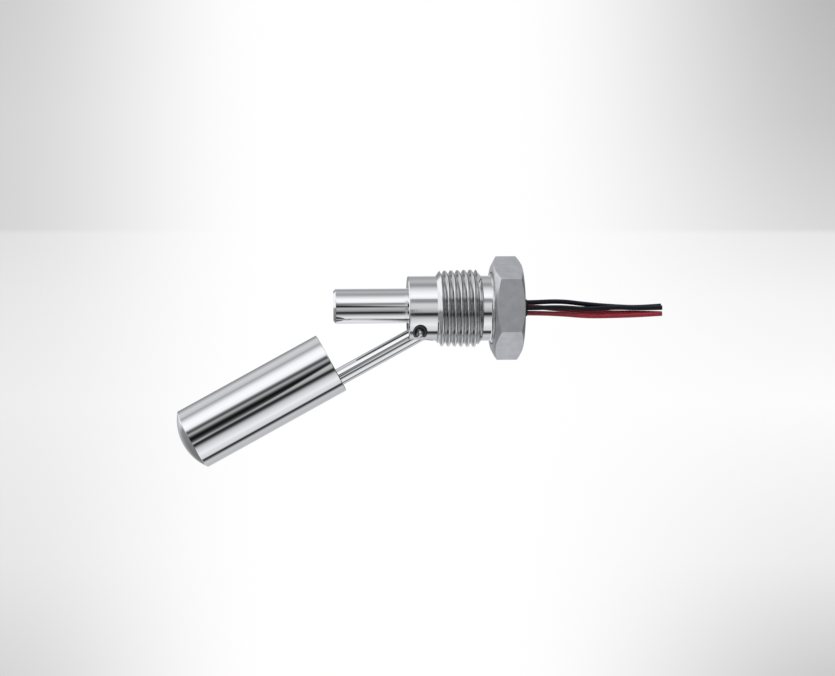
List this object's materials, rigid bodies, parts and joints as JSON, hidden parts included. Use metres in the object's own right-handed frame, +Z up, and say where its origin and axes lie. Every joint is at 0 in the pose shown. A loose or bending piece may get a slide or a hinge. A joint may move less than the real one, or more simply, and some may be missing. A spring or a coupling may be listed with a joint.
{
  "type": "horizontal float switch",
  "caption": "Side-mounted float switch: a hinged float lifts a magnet under a fixed stem and switches the reed contacts inside, wired through a threaded plug.",
  "frame": {"origin": "the plug's axis in the hexagon's front face, where the taper thread begins", "axes": "-X points along the plug's axis into the tank, towards the stem and the float; +X towards the leads; +Z up; the hinge pin lies along Y"},
  "size_m": [0.1072, 0.02, 0.0457],
  "materials": {
    "plug_steel": "satin machined stainless steel",
    "stem_steel": "polished stainless steel",
    "pin_steel": "polished stainless steel",
    "arm_steel": "polished stainless steel",
    "float_steel": "polished stainless steel",
    "magnet": "dark sintered magnet",
    "carrier_plastic": "moulded insulator",
    "reed_glass": "clear greenish glass",
    "tinned_wire": "tinned wire",
    "splice_copper": "crimped barrel",
    "resin": "black potting resin",
    "collar_black": "black plastic",
    "lead_black": "extruded insulation",
    "lead_red": "extruded insulation"
  },
  "bodies": {
    "plug": {"threaded_plug": "plug_steel", "stem_tube": "stem_steel", "hinge_pin": "pin_steel", "reed_carrier": "carrier_plastic", "reed_glass_upper": "reed_glass", "reed_glass_lower": "reed_glass", "reed_wire_upper": "tinned_wire", "return_wire_upper": "tinned_wire", "reed_wire_lower": "tinned_wire", "return_wire_lower": "tinned_wire", "splice_black_upper": "splice_copper", "splice_red_upper": "splice_copper", "splice_black_lower": "splice_copper", "splice_red_lower": "splice_copper", "potting_resin": "resin", "exit_collar": "collar_black", "lead_black_upper": "lead_black", "lead_red_upper": "lead_red", "lead_black_lower": "lead_black", "lead_red_lower": "lead_red"},
    "float": {"float_arm": "arm_steel", "arm_magnet": "magnet", "float_tube": "float_steel", "float_cap": "float_steel", "float_dome": "float_steel"}
  },
  "joints": [
    {"name": "float_swing", "type": "hinge", "parent": "plug", "child": "float", "pos_m": [-0.0161, 0, -0.0054], "axis": [0, 1, 0], "range_deg": [0, 28.4]}
  ]
}
